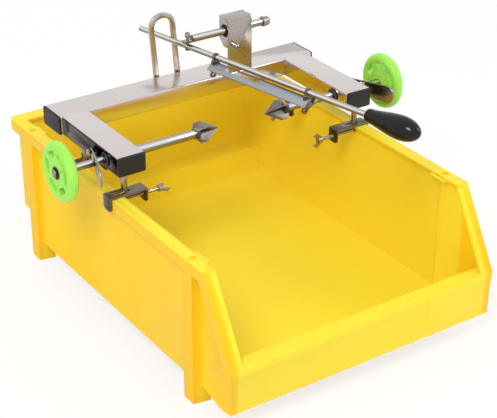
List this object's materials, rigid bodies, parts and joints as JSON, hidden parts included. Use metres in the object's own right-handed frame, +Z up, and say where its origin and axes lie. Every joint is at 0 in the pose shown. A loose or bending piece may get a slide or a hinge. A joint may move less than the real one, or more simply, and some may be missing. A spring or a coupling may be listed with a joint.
{
  "type": "pineapple peeler",
  "caption": "Hand-turned pineapple peeler: pronged spindles with handwheels and a swinging knife rod on a tube frame, clamped to a hopper-front catch bin.",
  "frame": {"origin": "on the floor, below the middle of the catch bin", "axes": "+X to the right seen from the bin's open front, +Y to the back, +Z up"},
  "size_m": [0.5117, 0.5422, 0.334],
  "materials": {
    "brushed_stainless": "brushed",
    "polished_stainless": "polished",
    "yellow_polypropylene": "satin moulded",
    "black_plastic": "matte",
    "lime_plastic": "satin moulded",
    "black_rubber": "matte",
    "grey_nylon": "matte",
    "glossy_black": "high gloss"
  },
  "bodies": {
    "root": {"catch_bin": "yellow_polypropylene", "left_arm": "brushed_stainless", "right_arm": "brushed_stainless", "rear_rail": "brushed_stainless", "left_arm_cap": "black_plastic", "right_arm_cap": "black_plastic", "left_rail_cap": "black_plastic", "right_rail_cap": "black_plastic", "left_outer_bush": "grey_nylon", "left_inner_bush": "grey_nylon", "right_outer_bush": "grey_nylon", "right_inner_bush": "grey_nylon", "left_lock_stud": "brushed_stainless", "right_lock_stud": "brushed_stainless", "tower_plate": "brushed_stainless", "tower_head": "brushed_stainless", "rest_peg": "brushed_stainless", "guide_loop": "brushed_stainless", "left_front_clamp": "brushed_stainless", "left_front_post": "brushed_stainless", "left_rear_clamp": "brushed_stainless", "left_rear_post": "brushed_stainless", "right_front_clamp": "brushed_stainless", "right_front_post": "brushed_stainless", "right_rear_clamp": "brushed_stainless", "right_rear_post": "brushed_stainless"},
    "lift": {"pivot_bush": "black_plastic"},
    "support": {"support_rod": "polished_stainless", "stop_nut": "polished_stainless"},
    "knife": {"knife_rod": "polished_stainless", "rear_bracket": "brushed_stainless", "front_bracket": "brushed_stainless", "bracket_bolt": "polished_stainless", "blade": "polished_stainless", "handle": "glossy_black", "pivot_screw": "polished_stainless"},
    "left_slide": {"left_sleeve": "polished_stainless"},
    "left_turning": {"left_spindle": "polished_stainless", "left_prongs": "polished_stainless", "left_handwheel": "lime_plastic", "left_hub_ring": "black_rubber", "left_hub_nut": "polished_stainless"},
    "left_lock": {"left_lock_plate": "brushed_stainless"},
    "left_front_screw": {"left_front_wing_screw": "brushed_stainless"},
    "left_rear_screw": {"left_rear_wing_screw": "brushed_stainless"},
    "right_slide": {"right_sleeve": "polished_stainless"},
    "right_turning": {"right_spindle": "polished_stainless", "right_prongs": "polished_stainless", "right_handwheel": "lime_plastic", "right_hub_ring": "black_rubber", "right_hub_nut": "polished_stainless"},
    "right_lock": {"right_lock_plate": "brushed_stainless"},
    "right_front_screw": {"right_front_wing_screw": "brushed_stainless"},
    "right_rear_screw": {"right_rear_wing_screw": "brushed_stainless"}
  },
  "joints": [
    {"name": "knife_lift", "type": "hinge", "parent": "root", "child": "lift", "pos_m": [0.0053, 0.132, 0.305], "axis": [-1, 0, 0], "range_deg": [-10, 40]},
    {"name": "support_slide", "type": "slide", "parent": "lift", "child": "support", "axis": [1, 0, 0], "range_m": [-0.008, 0.007]},
    {"name": "knife_swing", "type": "hinge", "parent": "support", "child": "knife", "pos_m": [0.0053, 0.132, 0.29595], "axis": [0, 0, 1], "range_deg": [-12, 10.5]},
    {"name": "left_spindle_slide", "type": "slide", "parent": "root", "child": "left_slide", "axis": [1, 0, 0], "range_m": [-0.015, 0.019]},
    {"name": "left_spindle_turn", "type": "hinge", "parent": "left_slide", "child": "left_turning", "pos_m": [-0.187, 0.012, 0.2345], "axis": [1, 0, 0], "continuous": true},
    {"name": "left_lock_release", "type": "hinge", "parent": "root", "child": "left_lock", "pos_m": [-0.1906, 0.0395, 0.2345], "axis": [0, 0, 1], "range_deg": [0, 8]},
    {"name": "left_front_screw_back", "type": "slide", "parent": "root", "child": "left_front_screw", "axis": [1, 0, 0], "range_m": [0, 0.02]},
    {"name": "left_rear_screw_back", "type": "slide", "parent": "root", "child": "left_rear_screw", "axis": [1, 0, 0], "range_m": [0, 0.02]},
    {"name": "right_spindle_slide", "type": "slide", "parent": "root", "child": "right_slide", "axis": [-1, 0, 0], "range_m": [-0.065, 0.015]},
    {"name": "right_spindle_turn", "type": "hinge", "parent": "right_slide", "child": "right_turning", "pos_m": [0.193, 0.012, 0.2345], "axis": [1, 0, 0], "continuous": true},
    {"name": "right_lock_release", "type": "hinge", "parent": "root", "child": "right_lock", "pos_m": [0.1966, 0.0395, 0.2345], "axis": [0, 0, -1], "range_deg": [0, 11]},
    {"name": "right_front_screw_back", "type": "slide", "parent": "root", "child": "right_front_screw", "axis": [-1, 0, 0], "range_m": [0, 0.02]},
    {"name": "right_rear_screw_back", "type": "slide", "parent": "root", "child": "right_rear_screw", "axis": [-1, 0, 0], "range_m": [0, 0.02]}
  ],
  "couplings": [
    {"joint": "knife_swing", "follows": "support_slide", "rad_per_m": 25}
  ]
}
